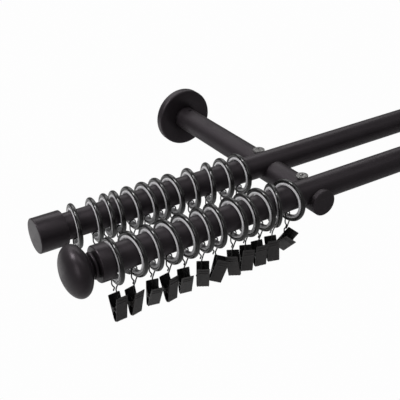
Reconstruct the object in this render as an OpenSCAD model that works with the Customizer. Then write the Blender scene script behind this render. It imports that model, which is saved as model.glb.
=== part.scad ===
// Double curtain rod: two round rods on a pair of wall brackets, with clip rings.
// +X runs along the rods, +Y points at the wall, +Z is up.
// The origin is on the wall plane, at the centre of the left bracket's wall plate.

/* [Rods] */
// Outer diameter of both rods
rod_d = 28; // [27:0.5:29]
// Wall thickness of the rod tube
rod_wall = 1.2; // [0.8:0.1:2]
// Length of the back rod
back_rod_len = 1600; // [1500:10:2000]
// Length of the front rod
front_rod_len = 1550; // [1450:10:1950]
// Distance between the two brackets
bracket_gap = 1040; // [900:10:1400]

/* [Brackets] */
// Diameter of the bracket arm
arm_d = 29; // [27:0.5:32]
// Distance from the wall to the back rod's axis
back_reach = 195; // [150:5:220]
// Distance between the two rods' axes
rod_spacing = 80; // [70:1:100]
// Length of the arm beyond the front rod's axis
arm_nose = 20.5; // [18:0.5:30]
// Height of the rods' axes above the arm's axis
rod_lift = 8; // [6:0.5:10]
// Diameter of the round wall flange
flange_d = 73.5; // [70:0.5:90]
// Depth of the wall flange
flange_depth = 11; // [9:0.5:14]
// Distance between the two wall screw holes
wall_hole_gap = 44; // [40:1:48]
// Diameter of the wall screw holes
wall_hole_d = 5.5; // [4:0.5:6]

/* [Screws] */
// Diameter of a clamp screw's head
clamp_head_d = 13.6; // [10:0.2:14]
// Distance from a rod's axis to its clamp screw
clamp_offset = 18.3; // [18.3:0.1:20]
// Diameter of the grub screws
grub_d = 4; // [3:0.5:5]

/* [Finials] */
// Diameter of the end caps and of the finial collars
cap_d = 37; // [34:0.5:40]
// Length of an end cap
cap_len = 30; // [25:1:40]
// Diameter of the finial knob
knob_d = 52.6; // [44:0.2:60]
// Thickness of the finial knob along the rod
knob_t = 28; // [22:0.5:34]
// Length of the collar that grips the rod's end
collar_len = 14; // [12:0.5:18]

/* [Rings] */
// Diameter of the ring's wire
ring_wire_d = 4.6; // [4:0.1:5]
// Diameter of the ring, between wire centres
ring_d = 43.2; // [43:0.1:46]
// Width of the quiet liner inside the ring
liner_w = 4.8; // [4:0.1:5]
// Inner diameter of the liner
liner_bore = 34; // [33.5:0.1:34.5]

/* [Clips] */
// Diameter of the hook's wire
hook_d = 1.4; // [1:0.1:1.5]
// Width of the clip's back plate
clip_w = 13.4; // [12:0.1:13.5]
// Thickness of the clip's plates
plate_t = 0.7; // [0.5:0.1:0.9]
// Diameter of the clip's pin
pin_d = 1.4; // [1.2:0.1:1.6]

/* [Hidden] */
$fn = 64;
RING_COUNT = 12;
RING_NUMBERS = [for (i = [1 : RING_COUNT]) str(i < 10 ? "0" : "", i)];

// Where each ring hangs along its rod, and how far it is turned about the vertical
front_x = [-240, -219, -199, -180, -161, -141.5, -126, -103, -88, -69, -53, -33];
front_yaw = [-3, 8, 0, 6, 5, -2, -3, 3, 0, 4, -15, 10];
back_x = [-243, -221, -206, -195, -178, -160, -144.5, -128, -105, -82, -62, -41];
back_yaw = [-8, -6, -7, -7, 1, 3, 0, 3, -6, -14, -5, 0];
// How each front clip hangs: turned about the vertical, leaning sideways, tipped fore and aft
front_twist = [7, 16, -7, 15, -12, -29, -24, -40, -20, -12, -21, -40];
front_lean = [3, 4, 4, 4, -1, 2, 20, -6, 4, -1, -3, 34];
front_tip = [-22, -16, -4, -22, -4, -9, -22, -14, -20, -18, -20, 4];
// Where each front clip's pin is: to the side of its ring's middle, and below it
front_shift = [2.2, -1.2, 0, 0, -1.4, 0.4, 4, -0.4, 2, -0.2, 0.8, -1.5];
front_drop = [54.5, 54.5, 54.5, 54.5, 54.5, 54.5, 54.5, 54.5, 54.5, 54.5, 54.5, 50];
// Back clips: turned about the vertical, tipped, and slid fore or aft round their rings
back_twist = [0, -10, -80, -80, 5, -8, -12, 6, -10, 0, -15, 8];
back_tip = [-14, -10, -12, -12, -16, -9, -12, -14, -12, -18, -10, -14];
back_slide = [0, 0, 14, -14, 0, 0, 0, 0, 0, 0, 0, 0];

front_reach = back_reach + rod_spacing;
arm_len = front_reach + arm_nose;
rod_r = rod_d / 2;
rod_overhang = (back_rod_len - bracket_gap) / 2;
front_overhang = (front_rod_len - bracket_gap) / 2;
// Running gap between pieces that slide into each other
slip = 0.05;

// Wall plate and its spigot, which carries the arm
plate_d = 64;
plate_depth = 3;
spigot_d = 21.8;
spigot_len = 35;
flange_skin = 2.5;
grub_y = 25;

// Clamp screws stand just behind each rod, with the head's edge on the rod
clamp_head_t = 1.8;
clamp_shank_d = 3.9;
clamp_head_z = rod_lift + sqrt(pow(rod_r, 2) - pow(clamp_offset - clamp_head_d / 2, 2)) + slip;

// A ring hangs with its liner on top of the rod
hang_gap = 0.3;
ring_z = rod_lift + rod_r - liner_bore / 2 + hang_gap;

// Hook: an arch over the ring's lowest point and two legs below it
hook_arch_r = 3.4;
hook_arch_z = -(liner_bore / 2 + 0.5);
hook_leg_z = -26;
hook_neck_z = -30;
hook_neck_x = 1.2;
hook_bow = 2.6;
back_drop = 54.5;

// Clip: outlines seen from its side, as (forward and back, up) from the middle of its pin
clip_plate = [[4.8 - plate_t, 14.3], [4.8, 14.3], [4.8, -10.4], [3.3, -13.4], [2.75, -13],
              [4.8 - plate_t, -10.1]];
jaw_plate = [[-10.3, 11.5], [-9.65, 11.8], [2.38, -13.3], [1.73, -13.6]];
clip_ear = [[4.4, 5.5], [1.2, 2], [-1, 1.7], [-1.9, 0], [-1, -1.7], [1.2, -2], [4.4, -5]];
jaw_ear = [[-7.2, 5.7], [-0.6, 2], [1.3, 1.3], [1.9, 0], [1, -1.7], [-0.6, -4.2], [-2.3, -4.6]];
ear_t = 0.7;
ear_gap = 0.15;
clip_ear_x = clip_w / 2 - ear_t;
jaw_ear_x = clip_ear_x - ear_gap - ear_t;
jaw_w = clip_w - 0.6;
pin_head_x = clip_w / 2 + 0.8;

// A rounded outline corner: centre, radius, first and last angle
function arc(c, r, a0, a1, n = 6) =
    [for (i = [0 : n]) c + r * [cos(a0 + (a1 - a0) * i / n), sin(a0 + (a1 - a0) * i / n)]];

module along_x() rotate([0, 90, 0]) children();

// Puts a copy at each bracket
module at_brackets() {
    for (x = [0, bracket_gap]) translate([x, 0, 0]) children();
}

// Puts a mirrored copy at the other end of the rods
module right_end() translate([bracket_gap, 0, 0]) mirror([1, 0, 0]) children();

module rod(length, reach) {
    color("#262426") translate([bracket_gap / 2 - length / 2, -reach, rod_lift]) along_x()
        difference() {
            cylinder(r = rod_r, h = length);
            translate([0, 0, -1]) cylinder(r = rod_r - rod_wall, h = length + 2);
        }
}

module bracket_arm() {
    nose = 0.8;
    bore_len = spigot_len + 2;
    color("#2b292b") difference() {
        rotate([90, 0, 0]) rotate_extrude()
            polygon([[0, plate_depth], [arm_d / 2, plate_depth], [arm_d / 2, arm_len - nose],
                     [arm_d / 2 - nose, arm_len], [0, arm_len]]);
        translate([0, -plate_depth + 1, 0]) rotate([90, 0, 0])
            cylinder(d = spigot_d + 2 * slip, h = bore_len + 1);
        for (reach = [back_reach, front_reach]) {
            translate([-arm_d, -reach, rod_lift]) along_x() cylinder(r = rod_r + slip, h = 2 * arm_d);
            translate([-arm_d, -reach - rod_r - slip, rod_lift])
                cube([2 * arm_d, 2 * (rod_r + slip), arm_d]);
            translate([0, -reach + clamp_offset, 1]) cylinder(d = clamp_shank_d + slip, h = arm_d);
        }
        translate([0, -grub_y, 0]) cylinder(d = grub_d + slip, h = arm_d);
    }
}

module wall_flange() {
    edge = 2.5;
    r = flange_d / 2;
    color("#232123") rotate([90, 0, 0]) rotate_extrude()
        polygon(concat(
            [[arm_d / 2 + slip, flange_depth - flange_skin], [r - flange_skin, flange_depth - flange_skin],
             [r - flange_skin, 0], [r, 0]],
            arc([r - edge, flange_depth - edge], edge, 0, 90),
            [[arm_d / 2 + slip, flange_depth]]));
}

module wall_plate() {
    color("#8c8c8e") difference() {
        union() {
            rotate([90, 0, 0]) cylinder(d = plate_d, h = plate_depth);
            rotate([90, 0, 0]) cylinder(d = spigot_d, h = plate_depth + spigot_len);
        }
        for (x = [-1, 1])
            translate([x * wall_hole_gap / 2, 1, 0]) rotate([90, 0, 0])
                cylinder(d = wall_hole_d, h = plate_depth + 2);
        translate([0, -grub_y, spigot_d / 2 - 1]) cylinder(d = grub_d + slip, h = spigot_d);
    }
}

module cross_recess(size, depth) {
    for (a = [0, 90]) rotate([0, 0, a + 20]) cube([size, size / 5, 2 * depth], center = true);
}

module clamp_screw() {
    shank_len = 13;
    recess = 6.5;
    color("#77767a") difference() {
        union() {
            translate([0, 0, clamp_head_z]) rotate_extrude()
                polygon([[0, 0], [clamp_head_d / 2, 0], [clamp_head_d / 2, clamp_head_t - 0.6],
                         [clamp_head_d / 2 - 0.6, clamp_head_t], [0, clamp_head_t]]);
            translate([0, 0, clamp_head_z - shank_len])
                cylinder(d = clamp_shank_d, h = shank_len + clamp_head_t / 2);
        }
        translate([0, 0, clamp_head_z + clamp_head_t]) cross_recess(recess, 1);
    }
}

module rod_clamp_screws() {
    at_brackets()
        for (reach = [back_reach, front_reach])
            translate([0, -reach + clamp_offset, 0]) clamp_screw();
}

// A grub screw standing on the origin with its hexagon socket at the top
module grub_screw(length) {
    color("#5b5a5e") difference() {
        cylinder(d = grub_d, h = length);
        translate([0, 0, length - 1.5]) cylinder(d = grub_d / 2, h = 2, $fn = 6);
    }
}

module end_grubs() {
    // The screws of the left end point up at the rods from below
    grub_len = 3.6;
    cap_grub_x = -rod_overhang + cap_len / 2;
    collar_grub_x = -front_overhang + collar_len / 3;
    translate([cap_grub_x, -back_reach, rod_lift - rod_r]) rotate([180, 0, 0]) grub_screw(grub_len);
    translate([collar_grub_x, -front_reach, rod_lift - rod_r]) rotate([180, 0, 0]) grub_screw(grub_len);
}

module grub_screws() {
    at_brackets() translate([0, -grub_y, spigot_d / 2 - 1]) grub_screw(4);
    end_grubs();
    right_end() end_grubs();
}

module end_cap() {
    edge = 1;
    floor_t = 6;
    r = cap_d / 2;
    color("#242224") difference() {
        translate([-rod_overhang - floor_t, -back_reach, rod_lift]) along_x() rotate_extrude()
            polygon(concat([[0, 0]], arc([r - edge, edge], edge, -90, 0, 4), [[r, cap_len - 0.6],
                [r - 0.6, cap_len], [rod_r + slip, cap_len], [rod_r + slip, floor_t], [0, floor_t]]));
        translate([-rod_overhang + cap_len / 2, -back_reach, rod_lift - cap_d / 2 - 1])
            cylinder(d = grub_d + slip, h = cap_d / 2 - rod_r + 2);
    }
}

module end_caps() {
    end_cap();
    right_end() end_cap();
}

module knob_finial() {
    knob_r = knob_d / 2;
    half_t = knob_t / 2;
    collar_r = cap_d / 2;
    socket = collar_len - 3.5;
    neck = 10;
    neck_gap = 5.8;
    bead_r = 13.6;
    bead_w = 1.9;
    last = 180 - asin(neck / knob_r);
    steps = 40;
    knob = [for (i = [0 : steps]) let (a = last * i / steps) [knob_r * sin(a), half_t * (1 - cos(a))]];
    collar_z = knob_t + neck_gap;
    bead = arc([bead_r - bead_w, collar_z - bead_w - 1.2], bead_w, -90, 90, 8);
    color("#2a282a") difference() {
        translate([-front_overhang + socket - collar_len - collar_z, -front_reach, rod_lift]) along_x()
            rotate_extrude($fn = 96)
                polygon(concat(knob, [[neck, collar_z - 2 * bead_w - 1.2]], bead,
                    [[neck, collar_z - 1.2], [neck, collar_z], [collar_r - 1.4, collar_z],
                     [collar_r, collar_z + 1.4], [collar_r, collar_z + collar_len - 0.6],
                     [collar_r - 0.6, collar_z + collar_len], [rod_r + slip, collar_z + collar_len],
                     [rod_r + slip, collar_z + collar_len - socket],
                     [0, collar_z + collar_len - socket]]));
        translate([-front_overhang + collar_len / 3, -front_reach, rod_lift - cap_d / 2 - 1])
            cylinder(d = grub_d + slip, h = cap_d / 2 - rod_r + 2);
    }
}

// Ring about the X axis: the wire and, just inside it, the liner
module ring() {
    wire_in = ring_d / 2 - ring_wire_d / 2;
    color("#1d1b1c") along_x() rotate_extrude() translate([ring_d / 2, 0]) circle(d = ring_wire_d);
    color("#c9c5c0") along_x() rotate_extrude()
        translate([liner_bore / 2, -liner_w / 2]) square([wire_in - slip - liner_bore / 2, liner_w]);
}

// Straight wire between two points
module wire(a, b) {
    d = b - a;
    translate(a) rotate([0, acos(d[2] / norm(d)), atan2(d[1], d[0])]) cylinder(d = hook_d, h = norm(d), $fn = 24);
    translate(b) sphere(d = hook_d * 1.06, $fn = 24);
}

// Hook: its held leg goes down between the clip's plates to the pin
module hook(shift, drop) {
    held = [[hook_arch_r, 0, hook_arch_z], [hook_arch_r, 0, hook_leg_z], [hook_neck_x, 0, hook_neck_z],
            [0.3 * shift, 0.6, hook_neck_z - 4.5], [shift, hook_bow, 14.5 - drop],
            [shift, hook_bow, 6 - drop], [shift, 1, 0.4 - drop]];
    free = [[-hook_arch_r, 0, hook_arch_z], [-hook_arch_r, 0, hook_leg_z], [-hook_neck_x, 0, hook_neck_z],
            [-2 * hook_neck_x, 0, hook_neck_z - 2.6]];
    color("#1a1819") {
        translate([0, 0, hook_arch_z]) rotate([90, 0, 0])
            rotate_extrude(angle = 180) translate([hook_arch_r, 0]) circle(d = hook_d, $fn = 24);
        for (leg = [held, free], k = [1 : len(leg) - 1]) wire(leg[k - 1], leg[k]);
    }
}

// Side outline of a bent plate, extruded across the clip's width
module pressed(points, width) {
    rotate([90, 0, 90]) linear_extrude(width, center = true) polygon(points);
}

module ears(points, x) {
    for (side = [-1, 1]) translate([side * (x + ear_t / 2), 0, 0]) pressed(points, ear_t);
}

// Back plate of a clip with its ears and the pin through them
module clip_back() {
    color("#161415") {
        pressed(clip_plate, clip_w);
        ears(clip_ear, clip_ear_x);
    }
    color("#3c3a3c") translate([-pin_head_x, 0, 0]) along_x()
        cylinder(d = pin_d, h = 2 * pin_head_x - 0.7, $fn = 32);
}

// Front plate of a clip, which turns on the pin
module clip_jaw() {
    run = jaw_plate[3] - jaw_plate[0];
    grip = [for (t = [0.13, 0.25]) jaw_plate[0] + t * run + [0.2, 0.1]];
    color("#1f1d1e") difference() {
        union() {
            pressed(jaw_plate, jaw_w);
            for (g = grip) translate([0, g[0], g[1]]) along_x()
                cylinder(d = 1, h = jaw_w - 3, center = true, $fn = 24);
            ears(jaw_ear, jaw_ear_x);
        }
        along_x() cylinder(d = pin_d + 2 * slip, h = clip_w + 2, center = true, $fn = 32);
    }
}

// Moves a piece from a ring's own frame to its place on a rod
module on_rod(x, reach, yaw) translate([x, -reach, ring_z]) rotate([0, 0, yaw]) children();

// Moves a piece from a clip's own frame to the end of the hook
module on_hook(shift, drop, turned) translate([shift, 0, -drop]) rotate(turned) children();

module on_front_hook(i)
    on_hook(front_shift[i], front_drop[i], [front_tip[i], front_lean[i], front_twist[i] - front_yaw[i]])
        children();

module front_ring(i) on_rod(front_x[i], front_reach, front_yaw[i]) ring();

module front_clip(i) {
    on_rod(front_x[i], front_reach, front_yaw[i]) {
        hook(front_shift[i], front_drop[i]);
        on_front_hook(i) clip_back();
    }
}

module front_jaw(i) on_rod(front_x[i], front_reach, front_yaw[i]) on_front_hook(i) clip_jaw();

module back_ring(i) {
    on_rod(back_x[i], back_reach, back_yaw[i]) {
        ring();
        rotate([back_slide[i], 0, 0]) {
            hook(0, back_drop);
            on_hook(0, back_drop, [back_tip[i], 0, back_twist[i] - back_yaw[i]]) {
                clip_back();
                clip_jaw();
            }
        }
    }
}

rod(front_rod_len, front_reach);  // front_rod
rod(back_rod_len, back_reach);  // back_rod
bracket_arm();  // left_bracket_arm
right_end() bracket_arm();  // right_bracket_arm
wall_flange();  // left_wall_flange
right_end() wall_flange();  // right_wall_flange
at_brackets() wall_plate();  // wall_plates
rod_clamp_screws();
grub_screws();
knob_finial();  // left_knob_finial
right_end() knob_finial();  // right_knob_finial
end_caps();
for (i = [0 : RING_COUNT - 1]) {
    front_ring(i);
    front_clip(i);
    front_jaw(i);
    back_ring(i);
}
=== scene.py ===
import math

import bmesh
import bpy
from mathutils import Matrix, Vector


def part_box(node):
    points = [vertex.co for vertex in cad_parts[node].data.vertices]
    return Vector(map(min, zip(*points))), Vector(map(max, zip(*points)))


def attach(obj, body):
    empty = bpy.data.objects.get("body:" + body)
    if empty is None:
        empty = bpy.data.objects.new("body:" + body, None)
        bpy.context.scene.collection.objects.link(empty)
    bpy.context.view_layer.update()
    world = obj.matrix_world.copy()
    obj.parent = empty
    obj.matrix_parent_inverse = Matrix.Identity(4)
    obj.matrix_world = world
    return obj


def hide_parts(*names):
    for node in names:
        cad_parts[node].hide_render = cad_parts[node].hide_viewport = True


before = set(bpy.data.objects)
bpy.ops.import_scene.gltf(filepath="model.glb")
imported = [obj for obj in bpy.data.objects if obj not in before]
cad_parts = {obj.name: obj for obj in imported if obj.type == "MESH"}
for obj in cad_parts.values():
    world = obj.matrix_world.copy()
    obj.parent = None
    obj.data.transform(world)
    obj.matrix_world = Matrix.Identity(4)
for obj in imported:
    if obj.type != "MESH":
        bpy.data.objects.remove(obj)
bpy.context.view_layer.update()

MM = 0.001
RING_COUNT = 12

# ---------------------------------------------------------------- the part's dimensions, in mm

ROD_R = 14.0
ROD_LIFT = 8.0
BACK_REACH = 195.0
ROD_SPACING = 80.0
FRONT_REACH = BACK_REACH + ROD_SPACING
ARM_R = 14.5
RING_R = 21.6
RING_WIRE_R = 2.3
LINER_R = 17.0
LINER_W = 4.8
RING_Z = ROD_LIFT + ROD_R - LINER_R + 0.3
HOOK_R = 0.7
HOOK_ARCH_R = 3.4
HOOK_ARCH_Z = -(LINER_R + 0.5)
BACK_DROP = 54.5
CLIP_W = 13.4
JAW_W = 12.8
PLATE_T = 0.7
PLATE_CORNER_R = 0.7
EAR_GAP = 0.15
TOOTH_PITCH = 1.6
TOOTH_DEPTH = 0.3
PIN_R = 0.7
SPRING_COIL_R = 1.15
SPRING_WIRE_R = 0.26
SPRING_START = -4.2
SCREW_HEAD_R = 6.8
SCREW_HEAD_T = 1.8

# How each ring and clip hangs, listed as in the part's source: places along the rod,
# turns about the vertical, leans and tips, and where each front clip's pin is below its ring
FRONT_X = [-240, -219, -199, -180, -161, -141.5, -126, -103, -88, -69, -53, -33]
FRONT_YAW = [-3, 8, 0, 6, 5, -2, -3, 3, 0, 4, -15, 10]
FRONT_TWIST = [7, 16, -7, 15, -12, -29, -24, -40, -20, -12, -21, -40]
FRONT_LEAN = [3, 4, 4, 4, -1, 2, 20, -6, 4, -1, -3, 34]
FRONT_TIP = [-22, -16, -4, -22, -4, -9, -22, -14, -20, -18, -20, 4]
FRONT_SHIFT = [2.2, -1.2, 0, 0, -1.4, 0.4, 4, -0.4, 2, -0.2, 0.8, -1.5]
FRONT_DROP = [54.5, 54.5, 54.5, 54.5, 54.5, 54.5, 54.5, 54.5, 54.5, 54.5, 54.5, 50]
BACK_X = [-243, -221, -206, -195, -178, -160, -144.5, -128, -105, -82, -62, -41]
BACK_YAW = [-8, -6, -7, -7, 1, 3, 0, 3, -6, -14, -5, 0]
BACK_TWIST = [0, -10, -80, -80, 5, -8, -12, 6, -10, 0, -15, 8]
BACK_TIP = [-14, -10, -12, -12, -16, -9, -12, -14, -12, -18, -10, -14]
BACK_SLIDE = [0, 0, 14, -14, 0, 0, 0, 0, 0, 0, 0, 0]


# ---------------------------------------------------------------- materials

class Shader:
    """A Principled material with short calls for the nodes that shape it."""

    def __init__(self, name, colour, roughness, metallic=0.0):
        self.material = bpy.data.materials.new(name)
        self.material.use_nodes = True
        self.nodes = self.material.node_tree.nodes
        self.links = self.material.node_tree.links
        self.principled = self.nodes["Principled BSDF"]
        self.principled.inputs["Base Color"].default_value = (*colour, 1.0)
        self.principled.inputs["Roughness"].default_value = roughness
        self.principled.inputs["Metallic"].default_value = metallic
        self.place = self.nodes.new("ShaderNodeTexCoord").outputs["Object"]

    def noise(self, scale, detail=3.0, stretch=(1, 1, 1)):
        mapping = self.nodes.new("ShaderNodeMapping")
        mapping.inputs["Scale"].default_value = stretch
        self.links.new(self.place, mapping.inputs["Vector"])
        noise = self.nodes.new("ShaderNodeTexNoise")
        noise.inputs["Scale"].default_value = scale
        noise.inputs["Detail"].default_value = detail
        self.links.new(mapping.outputs["Vector"], noise.inputs["Vector"])
        return noise.outputs["Fac"]

    def remap(self, value, low, high, to_low, to_high):
        remap = self.nodes.new("ShaderNodeMapRange")
        for key, number in (("From Min", low), ("From Max", high),
                            ("To Min", to_low), ("To Max", to_high)):
            remap.inputs[key].default_value = number
        self.links.new(value, remap.inputs["Value"])
        return remap.outputs["Result"]

    def math(self, operation, a, b):
        node = self.nodes.new("ShaderNodeMath")
        node.operation = operation
        for socket, value in zip(node.inputs, (a, b)):
            if isinstance(value, (int, float)):
                socket.default_value = value
            else:
                self.links.new(value, socket)
        return node.outputs["Value"]

    def mix(self, factor, dark, light):
        node = self.nodes.new("ShaderNodeMix")
        node.data_type = "RGBA"
        node.inputs["A"].default_value = (*dark, 1.0)
        node.inputs["B"].default_value = (*light, 1.0)
        self.links.new(factor, node.inputs["Factor"])
        return node.outputs["Result"]

    def colour(self, value):
        self.links.new(value, self.principled.inputs["Base Color"])

    def roughness(self, value):
        self.links.new(value, self.principled.inputs["Roughness"])

    def bump(self, height, distance, strength=1.0):
        node = self.nodes.new("ShaderNodeBump")
        node.inputs["Distance"].default_value = distance
        node.inputs["Strength"].default_value = strength
        previous = self.principled.inputs["Normal"]
        if previous.is_linked:
            self.links.new(previous.links[0].from_socket, node.inputs["Normal"])
        self.links.new(height, node.inputs["Height"])
        self.links.new(node.outputs["Normal"], previous)

    def worn_edges(self, start, end):
        edge = self.nodes.new("ShaderNodeNewGeometry").outputs["Pointiness"]
        return self.remap(edge, start, end, 0.0, 1.0)


def black_coating(name, roughness, streaks, stretch):
    """Satin black powder coat: a fine orange-peel grain, cloudy gloss and faint draw lines."""
    shader = Shader(name, (0.0165, 0.0137, 0.0158), roughness)
    cloud = shader.noise(45, 4)
    shader.colour(shader.mix(cloud, (0.0125, 0.01, 0.0118), (0.021, 0.0175, 0.02)))
    lines = shader.noise(420, 2, stretch)
    gloss = shader.math("ADD", shader.remap(cloud, 0.3, 0.7, roughness - 0.05, roughness + 0.05),
                        shader.remap(lines, 0.3, 0.7, -streaks, streaks))
    shader.roughness(gloss)
    shader.bump(shader.noise(2600, 2), 0.00004, 0.5)
    shader.bump(lines, 0.00003, 0.35)
    shader.principled.inputs["Specular IOR Level"].default_value = 0.45
    shader.principled.inputs["Specular Tint"].default_value = (1.0, 0.88, 0.97, 1.0)
    return shader.material


def ring_black():
    """Black plated ring wire: smooth, with a clear glossy coat and light rub marks."""
    shader = Shader("ring_black_plating", (0.012, 0.011, 0.0115), 0.26)
    cloud = shader.noise(160, 3)
    rub = shader.noise(900, 2, (1, 0.15, 0.15))
    shader.colour(shader.mix(cloud, (0.004, 0.0035, 0.0038), (0.009, 0.008, 0.0084)))
    shader.roughness(shader.math("ADD", shader.remap(cloud, 0.3, 0.7, 0.15, 0.24),
                                 shader.remap(rub, 0.55, 0.8, 0.0, 0.14)))
    shader.bump(shader.noise(1800, 2), 0.00002, 0.4)
    shader.principled.inputs["Coat Weight"].default_value = 0.5
    shader.principled.inputs["Coat Roughness"].default_value = 0.12
    return shader.material


def nylon():
    """Milky nylon liner: slightly see-through, with moulding flow marks and grey rub lines."""
    shader = Shader("liner_nylon", (0.74, 0.73, 0.745), 0.34)
    flow = shader.noise(240, 3, (3, 1, 1))
    rub = shader.noise(700, 2, (0.3, 1, 1))
    shader.colour(shader.mix(flow, (0.62, 0.61, 0.625), (0.85, 0.84, 0.86)))
    shader.roughness(shader.remap(rub, 0.3, 0.7, 0.24, 0.44))
    shader.bump(flow, 0.00005, 0.5)
    shader.principled.inputs["Subsurface Weight"].default_value = 0.25
    shader.principled.inputs["Subsurface Radius"].default_value = (0.002, 0.002, 0.002)
    shader.principled.inputs["Subsurface Scale"].default_value = 1.0
    return shader.material


def clip_black(name, light, roughness):
    """Black oxide on pressed sheet steel: rolling lines, cloudy gloss and rubbed edges."""
    dark = tuple(0.45 * c for c in light)
    shader = Shader(name, light, roughness)
    cloud = shader.noise(300, 4)
    rolling = shader.noise(1500, 2, (1, 1, 0.08))
    body = shader.mix(cloud, dark, light)
    edge = shader.nodes.new("ShaderNodeMix")
    edge.data_type = "RGBA"
    edge.inputs["B"].default_value = (0.035, 0.032, 0.03, 1.0)
    shader.links.new(body, edge.inputs["A"])
    shader.links.new(shader.worn_edges(0.56, 0.72), edge.inputs["Factor"])
    shader.colour(edge.outputs["Result"])
    gloss = shader.math("ADD", shader.remap(cloud, 0.3, 0.7, roughness - 0.07, roughness + 0.07),
                        shader.remap(rolling, 0.3, 0.7, -0.04, 0.04))
    shader.roughness(gloss)
    shader.bump(rolling, 0.00003, 0.5)
    shader.bump(shader.noise(2200, 2), 0.00003, 0.4)
    return shader.material


def bare_steel(name, light, dark, roughness):
    """Worn steel: grinding lines, dull spots and darker patches at random."""
    shader = Shader(name, light, roughness, metallic=0.85)
    cloud = shader.noise(700, 4)
    lines = shader.noise(1800, 2, (0.12, 1, 1))
    shader.colour(shader.mix(shader.remap(cloud, 0.35, 0.65, 0.0, 1.0), dark, light))
    gloss = shader.math("ADD", shader.remap(cloud, 0.3, 0.7, roughness - 0.08, roughness + 0.1),
                        shader.remap(lines, 0.3, 0.7, -0.05, 0.05))
    shader.roughness(gloss)
    shader.bump(lines, 0.00003, 0.6)
    return shader.material


COATING = black_coating("black_coating_round", 0.35, 0.03, (1, 1, 1))
ROD_COATING = black_coating("black_coating_rod", 0.4, 0.035, (0.02, 1, 1))
ARM_COATING = black_coating("black_coating_arm", 0.48, 0.03, (1, 0.03, 1))
RING_BLACK = ring_black()
NYLON = nylon()
HOOK_BLACK = clip_black("hook_wire_black", (0.009, 0.0078, 0.0078), 0.3)
PLATE_BLACK = clip_black("clip_back_black", (0.0055, 0.005, 0.0052), 0.4)
# The front plate is the same black oxide as the back plate, painted about ten times lighter: painted
# light standing in for a lamp low at the front left
JAW_BLACK_PAINTED_LIGHT = clip_black("clip_front_black_painted_light", (0.05, 0.045, 0.0455), 0.36)
SPRING_STEEL = bare_steel("clip_spring_steel", (0.16, 0.155, 0.15), (0.05, 0.048, 0.046), 0.34)
SCREW_STEEL = bare_steel("clamp_screw_steel", (0.38, 0.375, 0.37), (0.09, 0.086, 0.084), 0.38)
GRUB_STEEL = bare_steel("grub_screw_steel", (0.1, 0.098, 0.1), (0.03, 0.029, 0.03), 0.36)
ZINC = bare_steel("zinc_plate_steel", (0.5, 0.5, 0.51), (0.3, 0.3, 0.31), 0.34)


# ---------------------------------------------------------------- mesh tools, all in mm

def arc(cx, cy, r, start, end, steps=5):
    """Points of a round corner, from one angle to another in degrees."""
    turn = [math.radians(start + (end - start) * i / steps) for i in range(steps + 1)]
    return [(cx + r * math.cos(a), cy + r * math.sin(a)) for a in turn]


def finish_mesh(name, bm, sharp=35):
    """Turns a bmesh in mm into a smooth-shaded mesh in metres."""
    bmesh.ops.remove_doubles(bm, verts=bm.verts, dist=0.0005)
    bmesh.ops.recalc_face_normals(bm, faces=bm.faces)
    bmesh.ops.scale(bm, vec=(MM, MM, MM), verts=bm.verts)
    mesh = bpy.data.meshes.new(name)
    bm.to_mesh(mesh)
    bm.free()
    mesh.shade_smooth()
    mesh.set_sharp_from_angle(angle=math.radians(sharp))
    return mesh


def lathe(name, profile, segments=96, closed=False, sharp=35):
    """Turns an outline of (along x, radius) points about the X axis."""
    bm = bmesh.new()
    rows = []
    for i in range(segments):
        a = 2 * math.pi * i / segments
        rows.append([bm.verts.new((x, r * math.cos(a), r * math.sin(a))) for x, r in profile])
    count = len(profile)
    for i in range(segments):
        row, following = rows[i], rows[(i + 1) % segments]
        for j in range(count if closed else count - 1):
            k = (j + 1) % count
            bm.faces.new((row[j], row[k], following[k], following[j]))
    bmesh.ops.dissolve_degenerate(bm, dist=0.0005, edges=bm.edges)
    return finish_mesh(name, bm, sharp)


def add_tube(bm, path, radius, sides=12, loop=False):
    """Adds a round wire along a path of points; an open end is closed with a small dome."""
    points = [Vector(p) for p in path]
    count = len(points)
    rings = []
    normal = None
    for i, point in enumerate(points):
        before = points[i - 1] if (i or loop) else points[i]
        after = points[(i + 1) % count] if (i < count - 1 or loop) else points[i]
        tangent = (after - before).normalized()
        if normal is None:
            normal = tangent.orthogonal().normalized()
        normal = (normal - tangent * normal.dot(tangent)).normalized()
        side = tangent.cross(normal)
        rings.append([bm.verts.new(point + radius * (math.cos(a) * normal + math.sin(a) * side))
                      for a in (2 * math.pi * k / sides for k in range(sides))])
    for i in range(count if loop else count - 1):
        here, there = rings[i], rings[(i + 1) % count]
        for k in range(sides):
            m = (k + 1) % sides
            bm.faces.new((here[k], here[m], there[m], there[k]))
    if not loop:
        for ring, point, other in ((rings[0], points[0], points[1]),
                                   (rings[-1], points[-1], points[-2])):
            tip = bm.verts.new(point + (point - other).normalized() * radius * 0.45)
            for k in range(sides):
                bm.faces.new((ring[k], ring[(k + 1) % sides], tip))


def smooth_path(points, steps=6):
    """A Catmull-Rom curve through the points."""
    knots = [Vector(p) for p in points]
    knots = [2 * knots[0] - knots[1]] + knots + [2 * knots[-1] - knots[-2]]
    path = []
    for a, b, c, d in zip(knots, knots[1:], knots[2:], knots[3:]):
        for i in range(steps):
            t = i / steps
            path.append(0.5 * ((2 * b) + (c - a) * t + (2 * a - 5 * b + 4 * c - d) * t * t
                               + (3 * b - a - 3 * c + d) * t ** 3))
    path.append(knots[-2])
    return path


def along(polyline, distance):
    """The point at a distance along a polyline, and the unit direction there."""
    left = distance
    for a, b in zip(polyline, polyline[1:]):
        span = (b - a).length
        if left <= span or b is polyline[-1]:
            return a + (b - a) * (left / span), (b - a) / span
        left -= span


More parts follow.
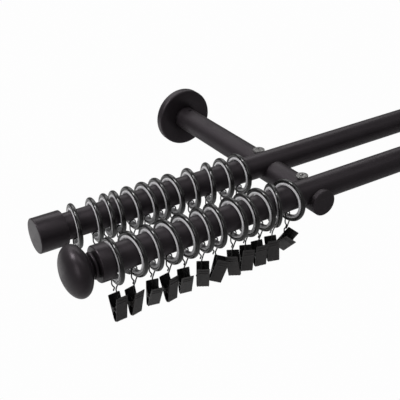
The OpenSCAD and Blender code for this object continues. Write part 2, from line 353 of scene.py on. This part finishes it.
def add_sheet(bm, bend, half_width, thickness, rows, columns, relief=None, tooth=None):
    """Adds a pressed plate: across it runs x, and down it runs the bend, a path in the YZ plane.

    half_width(v, length) is half its width at distance v down a bend of that length, relief(x, v)
    lifts it out of its plane, and tooth(x) lengthens or shortens its lower edge.
    """
    path = [Vector(p) for p in bend]
    length = sum((b - a).length for a, b in zip(path, path[1:]))
    layers = []
    for side in (-0.5, 0.5):
        layer = []
        for i in range(rows + 1):
            line = []
            for j in range(columns + 1):
                s = 2 * j / columns - 1
                v = length * i / rows
                x = s * half_width(v, length)
                if tooth and i == rows:
                    v = length + tooth(x)
                point, direction = along(path, min(v, length))
                point = point + direction * max(0.0, v - length)
                out = Vector((-direction.y, direction.x))
                lift = side * thickness + (relief(x, v) if relief else 0.0)
                point = point + out * lift
                line.append(bm.verts.new((x, point.x, point.y)))
            layer.append(line)
        layers.append(layer)
    low, high = layers
    for i in range(rows):
        for j in range(columns):
            for layer in (low, high):
                bm.faces.new((layer[i][j], layer[i][j + 1], layer[i + 1][j + 1], layer[i + 1][j]))
        for j in (0, columns):
            bm.faces.new((low[i][j], low[i + 1][j], high[i + 1][j], high[i][j]))
    for j in range(columns):
        for i in (0, rows):
            bm.faces.new((low[i][j], low[i][j + 1], high[i][j + 1], high[i][j]))


def add_flat(bm, outline, x, thickness):
    """Adds a flat plate across X with the given outline in the YZ plane."""
    faces = []
    for side in (-0.5, 0.5):
        verts = [bm.verts.new((x + side * thickness, y, z)) for y, z in outline]
        faces.append(verts)
        bm.faces.new(verts)
    count = len(outline)
    for i in range(count):
        j = (i + 1) % count
        bm.faces.new((faces[0][i], faces[0][j], faces[1][j], faces[1][i]))


def rounded_ends(full, radius):
    """Half width of a plate whose corners are rounded at both ends."""
    def half_width(v, length):
        edge = max(0.0, radius - min(v, length - v))
        return full / 2 - radius + math.sqrt(max(0.0, radius ** 2 - edge ** 2))
    return half_width


# ---------------------------------------------------------------- the shapes

def ring_wire_mesh():
    """The ring's wire, with the fine gap where its two ends meet."""
    bm = bmesh.new()
    gap = math.radians(0.35)
    seam = math.radians(118)
    steps = 144
    turn = [seam + gap + (2 * math.pi - 2 * gap) * i / steps for i in range(steps + 1)]
    add_tube(bm, [(0, RING_R * math.cos(a), RING_R * math.sin(a)) for a in turn], RING_WIRE_R, 20)
    return finish_mesh("ring_wire", bm, 50)


def liner_mesh():
    """The liner: a channel that hugs the wire, with lips and a crowned running face."""
    half = LINER_W / 2
    lip = RING_R - 1.75
    hug = [(x, RING_R - r) for x, r in
           ((RING_WIRE_R * 1.02 * math.cos(a), RING_WIRE_R * 1.02 * math.sin(a))
            for a in (math.radians(d) for d in (50, 70, 90, 110, 130)))]
    profile = [(-half + 0.5, LINER_R), (0, LINER_R - 0.02), (half - 0.5, LINER_R)]
    profile += [(half - 0.15, LINER_R + 0.15), (half, LINER_R + 0.5)]
    profile += [(half, lip - 0.3), (half - 0.3, lip)]
    profile += [(x, r) for x, r in hug]
    profile += [(-half + 0.3, lip), (-half, lip - 0.3)]
    profile += [(-half, LINER_R + 0.5), (-half + 0.15, LINER_R + 0.15)]
    return lathe("ring_liner", profile, 120, closed=True, sharp=60)


def hook_mesh(shift_x, drop):
    """The hook: an arch over the ring's lowest point, a waist, a free end, and a leg with an eye."""
    bend = HOOK_ARCH_R
    arch = [(bend * math.cos(a), 0, HOOK_ARCH_Z + bend * math.sin(a))
            for a in (math.pi * i / 8 for i in range(9))]
    eye = [(shift_x + 0.35 * (i - 9) / 9, 1.15 * math.sin(a), -drop + 1.15 * math.cos(a))
           for i, a in ((i, math.radians(40 + 300 * i / 9)) for i in range(10))]
    held = eye[::-1] + [(shift_x, 2.4, -drop + 4.5), (shift_x, 2.6, -drop + 10),
                        (shift_x, 2.5, -drop + 14.5), (0.3 * shift_x, 0.7, -34.5), (0.5, 0.2, -32.4),
                        (1.2, 0, -30.0), (2.3, 0, -28.0), (bend + 0.1, 0, -25.2), (bend, 0, -21.5)]
    free = [(-bend, 0, -21.5), (-bend - 0.1, 0, -25.2), (-2.4, 0, -28.0), (-1.25, 0, -29.8),
            (-1.45, 0, -31.0), (-2.3, 0, -32.3), (-2.2, 0, -33.2)]
    bm = bmesh.new()
    add_tube(bm, smooth_path(held + arch + free, 4), HOOK_R, 10)
    return finish_mesh("clip_hook", bm, 60)


def clip_back_mesh():
    """Back plate: a punched arch for the hook's leg, two ears round the pin, and a toothed foot."""
    bm = bmesh.new()
    bend = [(4.2, 14.25), (4.45, 13.5), (4.45, -9.4), (4.3, -10.5), (3.8, -11.8), (3.05, -13.2)]

    def arch(x, v):
        """Pressed arch: a fine raised line round a tongue in the upper half."""
        top, r = 4.2, 3.6
        across = abs(x) - r if v > top + r else math.hypot(x, v - top - r) - r
        fade = min(1.0, max(0.0, (12.5 - v) / 2.0))
        return 0.28 * fade * math.exp(-((across / 0.4) ** 2))

    teeth = lambda x: TOOTH_DEPTH * math.cos(2 * math.pi * x / TOOTH_PITCH)
    add_sheet(bm, bend, rounded_ends(CLIP_W, PLATE_CORNER_R), PLATE_T, 60, 48, arch, teeth)
    outline = ([(4.4, 5.9), (3.6, 5.2), (2.2, 3.2), (1.3, 2.1)] + arc(0, 0, 1.95, 65, 295, 12)
               + [(1.3, -2.1), (2.2, -3.0), (3.6, -4.8), (4.4, -5.4)])
    for side in (-1, 1):
        add_flat(bm, outline, side * (CLIP_W / 2 - 0.36), 0.68)
    return finish_mesh("clip_back_plate", bm, 32)


def clip_jaw_mesh():
    """Front plate: two pressed ribs below its lip, ears inside the back plate's ears, and teeth."""
    bm = bmesh.new()
    top, foot = Vector((-9.97, 11.65)), Vector((2.05, -13.4))
    run = foot - top
    bend = [top + Vector((-0.18, -0.12)), top + 0.035 * run, top + 0.9 * run,
            foot + Vector((-0.05, 0.1))]

    def ribs(x, v):
        inside = 1 / (1 + math.exp(-(JAW_W / 2 - 1.5 - abs(x)) * 7))
        height = sum(math.exp(-(((v - centre) / 0.55) ** 2)) for centre in (3.6, 6.9))
        fade = min(1.0, max(0.0, (v - 9.0) / 4.0))
        frame_line = fade * math.exp(-(((abs(x) - JAW_W / 2 + 0.75) / 0.3) ** 2))
        return -0.62 * height * inside - 0.14 * frame_line

    teeth = lambda x: TOOTH_DEPTH * math.cos(2 * math.pi * x / TOOTH_PITCH + math.pi)
    add_sheet(bm, bend, rounded_ends(JAW_W, PLATE_CORNER_R), PLATE_T, 100, 48, ribs, teeth)
    outline = ([(-2.3, -4.7), (-4.6, 0.2), (-7.25, 5.8), (-6.0, 5.3), (-3.4, 3.1), (-1.4, 2.2)]
               + arc(0, 0, 1.9, 95, -70, 10) + [(0.35, -2.6), (-0.5, -4.0), (-1.2, -4.8)])
    for side in (-1, 1):
        add_flat(bm, outline, side * (CLIP_W / 2 - PLATE_T - EAR_GAP - PLATE_T / 2), 0.66)
    return finish_mesh("clip_front_plate", bm, 32)


def pin_mesh():
    """The pin with its upset head at one side."""
    head = CLIP_W / 2 + 0.8
    profile = [(-head, 0.0), (-head, 0.65), (-head + 0.14, 0.92), (-head + 0.4, 1.0),
               (-head + 0.66, 0.92), (-head + 0.78, PIN_R)]
    profile += [(head - 0.95, PIN_R), (head - 0.76, PIN_R - 0.15), (head - 0.7, 0.0)]
    return lathe("clip_pin", profile, 24)


def spring_mesh():
    """The torsion spring's coil round the pin, with its leg against the back plate."""
    turns = 4
    pitch = 0.62
    steps = 14
    path = []
    for i in range(turns * steps + 1):
        a = 2 * math.pi * i / steps + math.radians(120)
        path.append((SPRING_START + pitch * i / steps,
                     SPRING_COIL_R * math.cos(a), SPRING_COIL_R * math.sin(a)))
    end = SPRING_START + pitch * turns
    path += [(end + 0.05, 1.6, 2.4), (end + 0.1, 3.6, 5.2)]
    bm = bmesh.new()
    add_tube(bm, path, SPRING_WIRE_R, 8)
    return finish_mesh("clip_spring", bm, 60)


def spring_leg_mesh():
    """The spring's other leg, beside the coil: it turns about the pin with the front plate."""
    x = SPRING_START - 2 * SPRING_WIRE_R - 0.06
    bm = bmesh.new()
    bend = [(x, SPRING_COIL_R * math.cos(a), SPRING_COIL_R * math.sin(a))
            for a in (math.radians(20 + 100 * i / 8) for i in range(9))]
    add_tube(bm, bend + [(x, -1.7, 1.6), (x, -4.2, 2.5)], SPRING_WIRE_R, 8)
    return finish_mesh("clip_spring_leg", bm, 60)


def clamp_screw_mesh():
    """Flat cross-recess screw, standing on the underside of its head, with its thread below."""
    r, t = SCREW_HEAD_R, SCREW_HEAD_T
    core_r, core_top, core_end = 1.95, 0.2, -13.0
    thread_wire_r, thread_turns, thread_top = 0.26, 14, -0.5
    core_sides = 24
    segments = 72
    bm = bmesh.new()
    rings = []
    radii = [0.0, 0.8, 1.5, 2.2, 2.8, 3.3, 3.9, 4.8, 5.7, 6.2, 6.55, 6.75, r, r, 6.6, 2.2]
    heights = [t] * 9 + [t - 0.03, t - 0.15, t - 0.4, t - 0.75, 0.3, 0.0, 0.0]

    def cross(x, y):
        """Depth of the recess: four tapered flutes and a conical middle."""
        depth = 0.0
        for a, b in ((x, y), (y, x)):
            across = min(1.0, max(0.0, (0.62 - abs(b)) / 0.16))
            lengthwise = min(1.0, max(0.0, (3.3 - abs(a)) / 0.5))
            depth = max(depth, across * lengthwise * (1.15 - 0.12 * abs(a)))
        middle = min(1.0, max(0.0, (1.5 - math.hypot(x, y)) / 0.5))
        return max(depth, 1.2 * middle)

    for ring, (radius, height) in enumerate(zip(radii, heights)):
        line = []
        for i in range(segments):
            a = 2 * math.pi * i / segments
            x, y = radius * math.cos(a), radius * math.sin(a)
            sink = cross(x, y) if ring < 7 else 0.0
            line.append(bm.verts.new((x, y, height - sink)))
        rings.append(line)
    for a, b in zip(rings, rings[1:]):
        for i in range(segments):
            j = (i + 1) % segments
            bm.faces.new((a[i], a[j], b[j], b[i]))
    pitch = 0.8
    helix = [(core_r * math.cos(a), core_r * math.sin(a), thread_top - pitch * a / (2 * math.pi))
             for a in (2 * math.pi * i / core_sides for i in range(core_sides * thread_turns))]
    add_tube(bm, helix, thread_wire_r, 6)
    core = []
    for z in (core_top, core_end + 1.0, core_end):
        core.append([bm.verts.new((core_r * math.cos(a), core_r * math.sin(a), z))
                     for a in (2 * math.pi * i / core_sides for i in range(core_sides))])
    for a, b in zip(core, core[1:]):
        for i in range(core_sides):
            j = (i + 1) % core_sides
            bm.faces.new((a[i], a[j], b[j], b[i]))
    bm.faces.new(core[-1])
    bmesh.ops.dissolve_degenerate(bm, dist=0.0005, edges=bm.edges)
    return finish_mesh("clamp_screw", bm, 40)


def knob_mesh():
    """Knob, neck, bead and collar of the left finial, from its tip towards the rod."""
    knob_r, half_t, neck, bead_r, bead_w = 26.3, 14.0, 10.0, 13.6, 1.9
    collar_r, collar_len, neck_gap = 18.5, 14.0, 5.8
    last = 180 - math.degrees(math.asin(neck / knob_r))
    knob = [(half_t * (1 - math.cos(a)), knob_r * math.sin(a))
            for a in (math.radians(last * i / 72) for i in range(73))]
    collar = 2 * half_t + neck_gap
    end = collar + collar_len
    profile = knob + [(collar - 2 * bead_w - 1.4, neck - 0.2)]
    profile += [(collar - bead_w - 1.2 + bead_w * math.sin(a),
                 bead_r - bead_w + bead_w * math.cos(a))
                for a in (math.radians(-90 + 180 * i / 14) for i in range(15))]
    profile += [(collar - 1.1, neck), (collar - 0.5, neck - 0.1)]
    profile += [(x, r) for x, r in arc(collar + 0.2, collar_r - 2.4, 0.2, 180, 170, 1)]
    profile += arc(collar + 1.6, collar_r - 1.6, 1.6, 180, 90, 8)
    profile += arc(end - 0.6, collar_r - 0.6, 0.6, 90, 0, 4)
    bore = ROD_R + 0.06
    profile += [(end, ROD_R + 0.5), (end - 0.4, bore), (end - 10.5, bore), (end - 10.5, 0.0)]
    return lathe("knob_finial", profile, 160, sharp=40)


def end_cap_mesh():
    """End cap from its closed face towards the rod, with a softly rounded edge."""
    r, length, floor_t = 18.5, 30.0, 6.0
    profile = [(0, 0.0), (0, 6.0), (0, 12.0)] + arc(1.1, r - 1.1, 1.1, 180, 90, 7)
    profile += arc(length - 0.7, r - 0.7, 0.7, 90, 0, 4)
    bore = ROD_R + 0.06
    profile += [(length, ROD_R + 0.5), (length - 0.4, bore), (floor_t, bore), (floor_t, 0.0)]
    return lathe("end_cap", profile, 144, sharp=40)


def rod_mesh(name, length):
    """A tube with eased ends."""
    inside = ROD_R - 1.2
    profile = arc(0.3, ROD_R - 0.3, 0.3, 180, 90, 3) + arc(length - 0.3, ROD_R - 0.3, 0.3, 90, 0, 3)
    profile += [(length, inside), (0, inside)]
    return lathe(name, profile, 128, closed=True, sharp=40)


def flange_mesh():
    """Wall flange, from the wall outwards, with a soft front edge and a thin groove at the wall."""
    r, depth, edge, skin = 36.75, 11.0, 2.5, 2.5
    bore = ARM_R + 0.08
    profile = [(0, r - skin), (0, r - 0.7), (0.5, r - 0.4), (0.7, r)]
    profile += [(depth - edge, r)]
    profile += [(depth - edge + edge * math.sin(a), r - edge + edge * math.cos(a))
                for a in (math.radians(90 * i / 8) for i in range(1, 9))]
    profile += [(depth, bore + 0.5), (depth - 0.4, bore)]
    profile += [(depth - skin, bore), (depth - skin, r - skin)]
    return lathe("wall_flange", profile, 192, closed=True, sharp=40)


# ---------------------------------------------------------------- putting pieces in place

def place(name, mesh, material, body, matrix, *replaced):
    """Makes a piece from a mesh, puts it where the matrix says, and hangs it on its body."""
    piece = bpy.data.objects.new(name, mesh)
    bpy.context.collection.objects.link(piece)
    if not mesh.materials:
        mesh.materials.append(material)
    piece.matrix_world = matrix
    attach(piece, body)
    if replaced:
        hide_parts(*replaced)
    return piece


def shift(x, y, z):
    return Matrix.Translation((x * MM, y * MM, z * MM))


def turn(axis, degrees):
    return Matrix.Rotation(math.radians(degrees), 4, axis)


RING_WIRE = ring_wire_mesh()
LINER = liner_mesh()
CLIP_BACK = clip_back_mesh()
CLIP_JAW = clip_jaw_mesh()
PIN = pin_mesh()
SPRING = spring_mesh()
SPRING_LEG = spring_leg_mesh()


def ring_frame(x, reach, yaw):
    return shift(x, -reach, RING_Z) @ turn("Z", yaw)


def place_clip(name, jaw_name, body, jaw_body, hook, ring, hang, replaced, jaw_replaced):
    """Places a hook, its clip's plates, pin and spring.

    hang is the pin's shift and drop from the ring, then the clip's twist, lean and tip.
    """
    shift_x, drop, twist, lean, tip = hang
    clip = ring @ shift(shift_x, 0, -drop) @ turn("Z", twist) @ turn("Y", lean) @ turn("X", tip)
    pieces = [place(name + "_hook", hook, HOOK_BLACK, body, ring, *replaced),
              place(name + "_back_plate", CLIP_BACK, PLATE_BLACK, body, clip),
              place(name + "_pin", PIN, SPRING_STEEL, body, clip),
              place(name + "_spring", SPRING, SPRING_STEEL, body, clip),
              place(jaw_name + "_spring_leg", SPRING_LEG, SPRING_STEEL, jaw_body, clip),
              place(jaw_name + "_front_plate", CLIP_JAW, JAW_BLACK_PAINTED_LIGHT, jaw_body, clip, *jaw_replaced)]


def place_ring(name, frame_of_ring, replaced):
    """Places a ring's wire and the liner inside it."""
    wire = place(name + "_wire", RING_WIRE, RING_BLACK, name, frame_of_ring, *replaced)
    place(name + "_liner", LINER, NYLON, name, frame_of_ring)


BACK_HOOK = hook_mesh(0, BACK_DROP)
for i in range(RING_COUNT):
    number = f"{i + 1:02d}"
    ring, clip, jaw = "front_ring_" + number, "front_clip_" + number, "front_jaw_" + number
    where = ring_frame(FRONT_X[i], FRONT_REACH, FRONT_YAW[i])
    place_ring(ring, where, (ring,))
    hang = (FRONT_SHIFT[i], FRONT_DROP[i], FRONT_TWIST[i] - FRONT_YAW[i],
            FRONT_LEAN[i], FRONT_TIP[i])
    place_clip(clip, jaw, clip, jaw, hook_mesh(*hang[:2]), where, hang, (clip,), (jaw,))

    ring = "back_ring_" + number
    where = ring_frame(BACK_X[i], BACK_REACH, BACK_YAW[i])
    place_ring(ring, where, (ring,))
    hang = (0, BACK_DROP, BACK_TWIST[i] - BACK_YAW[i], 0, BACK_TIP[i])
    place_clip(ring + "_clip", ring + "_clip", ring, ring, BACK_HOOK,
               where @ turn("X", BACK_SLIDE[i]), hang, (), ())


HARDWARE = "rod_and_brackets"


def ends_of(node):
    """Lowest and highest corner of a CAD node, in mm."""
    low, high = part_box(node)
    return [c / MM for c in low], [c / MM for c in high]


for node, reach in (("front_rod", FRONT_REACH), ("back_rod", BACK_REACH)):
    low, high = ends_of(node)
    piece = place(node + "_tube", rod_mesh(node + "_tube", high[0] - low[0]), ROD_COATING, HARDWARE,
                  shift(low[0], -reach, ROD_LIFT), node)

KNOB = knob_mesh()
low, high = ends_of("left_knob_finial")
left = place("left_knob", KNOB, COATING, HARDWARE,
             shift(low[0], -FRONT_REACH, ROD_LIFT), "left_knob_finial")
low, high = ends_of("right_knob_finial")
right = place("right_knob", KNOB, COATING, HARDWARE,
              shift(high[0], -FRONT_REACH, ROD_LIFT) @ turn("Z", 180), "right_knob_finial")
CAP = end_cap_mesh()
low, high = ends_of("end_caps")
left_cap = place("left_end_cap", CAP, COATING, HARDWARE,
                 shift(low[0], -BACK_REACH, ROD_LIFT), "end_caps")
right_cap = place("right_end_cap", CAP, COATING, HARDWARE,
                  shift(high[0], -BACK_REACH, ROD_LIFT) @ turn("Z", 180), "end_caps")
FLANGE = flange_mesh()
for side in ("left", "right"):
    node = side + "_wall_flange"
    low, high = ends_of(node)
    piece = place(node + "_cover", FLANGE, COATING, HARDWARE,
                  shift((low[0] + high[0]) / 2, 0, 0) @ turn("Z", -90), node)

SCREW = clamp_screw_mesh()
low, high = ends_of("rod_clamp_screws")
spots = [(x, y) for x in (0.0, low[0] + high[0])
         for y in (low[1] + SCREW_HEAD_R, high[1] - SCREW_HEAD_R)]
for k, (x, y) in enumerate(spots):
    piece = place(f"rod_clamp_screw_{k + 1}", SCREW, SCREW_STEEL, HARDWARE,
                  shift(x, y, high[2] - SCREW_HEAD_T) @ turn("Z", 20 + 37 * k), "rod_clamp_screws")

for node, material in (("left_bracket_arm", ARM_COATING), ("right_bracket_arm", ARM_COATING),
                       ("wall_plates", ZINC), ("grub_screws", GRUB_STEEL)):
    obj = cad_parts[node]
    obj.data.materials.clear()
    obj.data.materials.append(material)


# ---------------------------------------------------------------- floor, light and camera

# The stage is in metres; every light looks at the left end of the rods
WHITE_SEEN = (0.985, 0.985, 0.985, 1.0)
FLOOR_LIT = (0.7, 0.7, 0.7, 1.0)
WORLD_STRENGTH = 0.21
FLOOR_HALF, FLOOR_LEVEL = 12.0, -0.9
LIGHT_TARGET = Vector((-0.13, -0.23, 0.0))


def white_backdrop(tree, seen, lit):
    """White where the camera sees it, and darker in what it throws back onto the black parts."""
    nodes, links = tree.nodes, tree.links
    path = nodes.new("ShaderNodeLightPath").outputs["Is Camera Ray"]
    mix = nodes.new("ShaderNodeMixShader")
    links.new(path, mix.inputs[0])
    links.new(lit, mix.inputs[1])
    links.new(seen, mix.inputs[2])
    return mix.outputs[0]


def stage_floor():
    """A plain pale floor well below the hanging rings."""
    material = bpy.data.materials.new("pale_floor")
    material.use_nodes = True
    tree = material.node_tree
    lit = tree.nodes["Principled BSDF"]
    lit.inputs["Base Color"].default_value = FLOOR_LIT
    lit.inputs["Roughness"].default_value = 0.95
    glow = tree.nodes.new("ShaderNodeEmission")
    glow.inputs["Color"].default_value = WHITE_SEEN
    surface = white_backdrop(tree, glow.outputs[0], lit.outputs[0])
    tree.links.new(surface, tree.nodes["Material Output"].inputs["Surface"])
    mesh = bpy.data.meshes.new("floor")
    corners = [(x * FLOOR_HALF, y * FLOOR_HALF, FLOOR_LEVEL)
               for x, y in ((-1, -1), (1, -1), (1, 1), (-1, 1))]
    mesh.from_pydata(corners, [], [(0, 1, 2, 3)])
    mesh.materials.append(material)
    floor = bpy.data.objects.new("floor", mesh)
    bpy.context.collection.objects.link(floor)


def stage_world():
    """Even studio light all round."""
    world = bpy.data.worlds.new("white_studio")
    world.use_nodes = True
    tree = world.node_tree
    lit = tree.nodes["Background"]
    lit.inputs["Color"].default_value = (1, 1, 1, 1)
    lit.inputs["Strength"].default_value = WORLD_STRENGTH
    seen = tree.nodes.new("ShaderNodeBackground")
    seen.inputs["Color"].default_value = WHITE_SEEN
    surface = white_backdrop(tree, seen.outputs[0], lit.outputs[0])
    tree.links.new(surface, tree.nodes["World Output"].inputs["Surface"])
    bpy.context.scene.world = world


def softbox(name, azimuth, elevation, distance, size, power):
    """A rectangular light that looks at the left end of the rods from a direction and a distance."""
    az, el = math.radians(azimuth), math.radians(elevation)
    away = Vector((math.sin(az) * math.cos(el), -math.cos(az) * math.cos(el), math.sin(el)))
    data = bpy.data.lights.new(name, "AREA")
    data.shape = "RECTANGLE"
    data.size, data.size_y = size
    data.energy = power
    lamp = bpy.data.objects.new(name, data)
    bpy.context.collection.objects.link(lamp)
    lamp.location = LIGHT_TARGET + distance * away
    lamp.rotation_euler = (-away).to_track_quat("-Z", "Y").to_euler()


stage_floor()
stage_world()
softbox("back_left_softbox", -112, 49, 1.8, (0.42, 0.62), 14)
softbox("left_front_softbox", -66, 18, 1.9, (0.8, 1.0), 4)
softbox("back_softbox", -172, 42, 1.8, (1.6, 0.8), 5.5)
softbox("back_right_softbox", 140, 40, 2.0, (1.0, 0.8), 3.7)
softbox("right_softbox", 40, 50, 2.6, (1.2, 1.2), 2.4)
softbox("top_softbox", -20, 80, 1.9, (1.2, 1.2), 5)
softbox("low_softbox", -148, -25, 1.6, (1.2, 0.8), 1.5)
bpy.context.scene.view_settings.view_transform = "Standard"

# The camera looks down at the left bracket from the front left, turned very slightly about its
# own axis
AZIMUTH, ELEVATION, ROLL = -31.44, 28.95, -1.66
CAMERA_PLACE = (-499.1, -858.8, 418.5)
SENSOR_WIDTH, FOCAL_IN_FRAMES = 36.0, 2.002
camera_data = bpy.data.cameras.new("camera")
camera_data.sensor_width = SENSOR_WIDTH
camera_data.lens = SENSOR_WIDTH * FOCAL_IN_FRAMES
camera_data.clip_end = 50.0
camera = bpy.data.objects.new("camera", camera_data)
bpy.context.collection.objects.link(camera)
az, el = math.radians(AZIMUTH), math.radians(ELEVATION)
back = Vector((math.sin(az) * math.cos(el), -math.cos(az) * math.cos(el), math.sin(el)))
right_axis = (-back).cross(Vector((0, 0, 1))).normalized()
up_axis = back.cross(right_axis)
pose = Matrix((right_axis, up_axis, back)).transposed().to_4x4()
camera.matrix_world = shift(*CAMERA_PLACE) @ pose @ turn("Z", ROLL)
bpy.context.scene.camera = camera
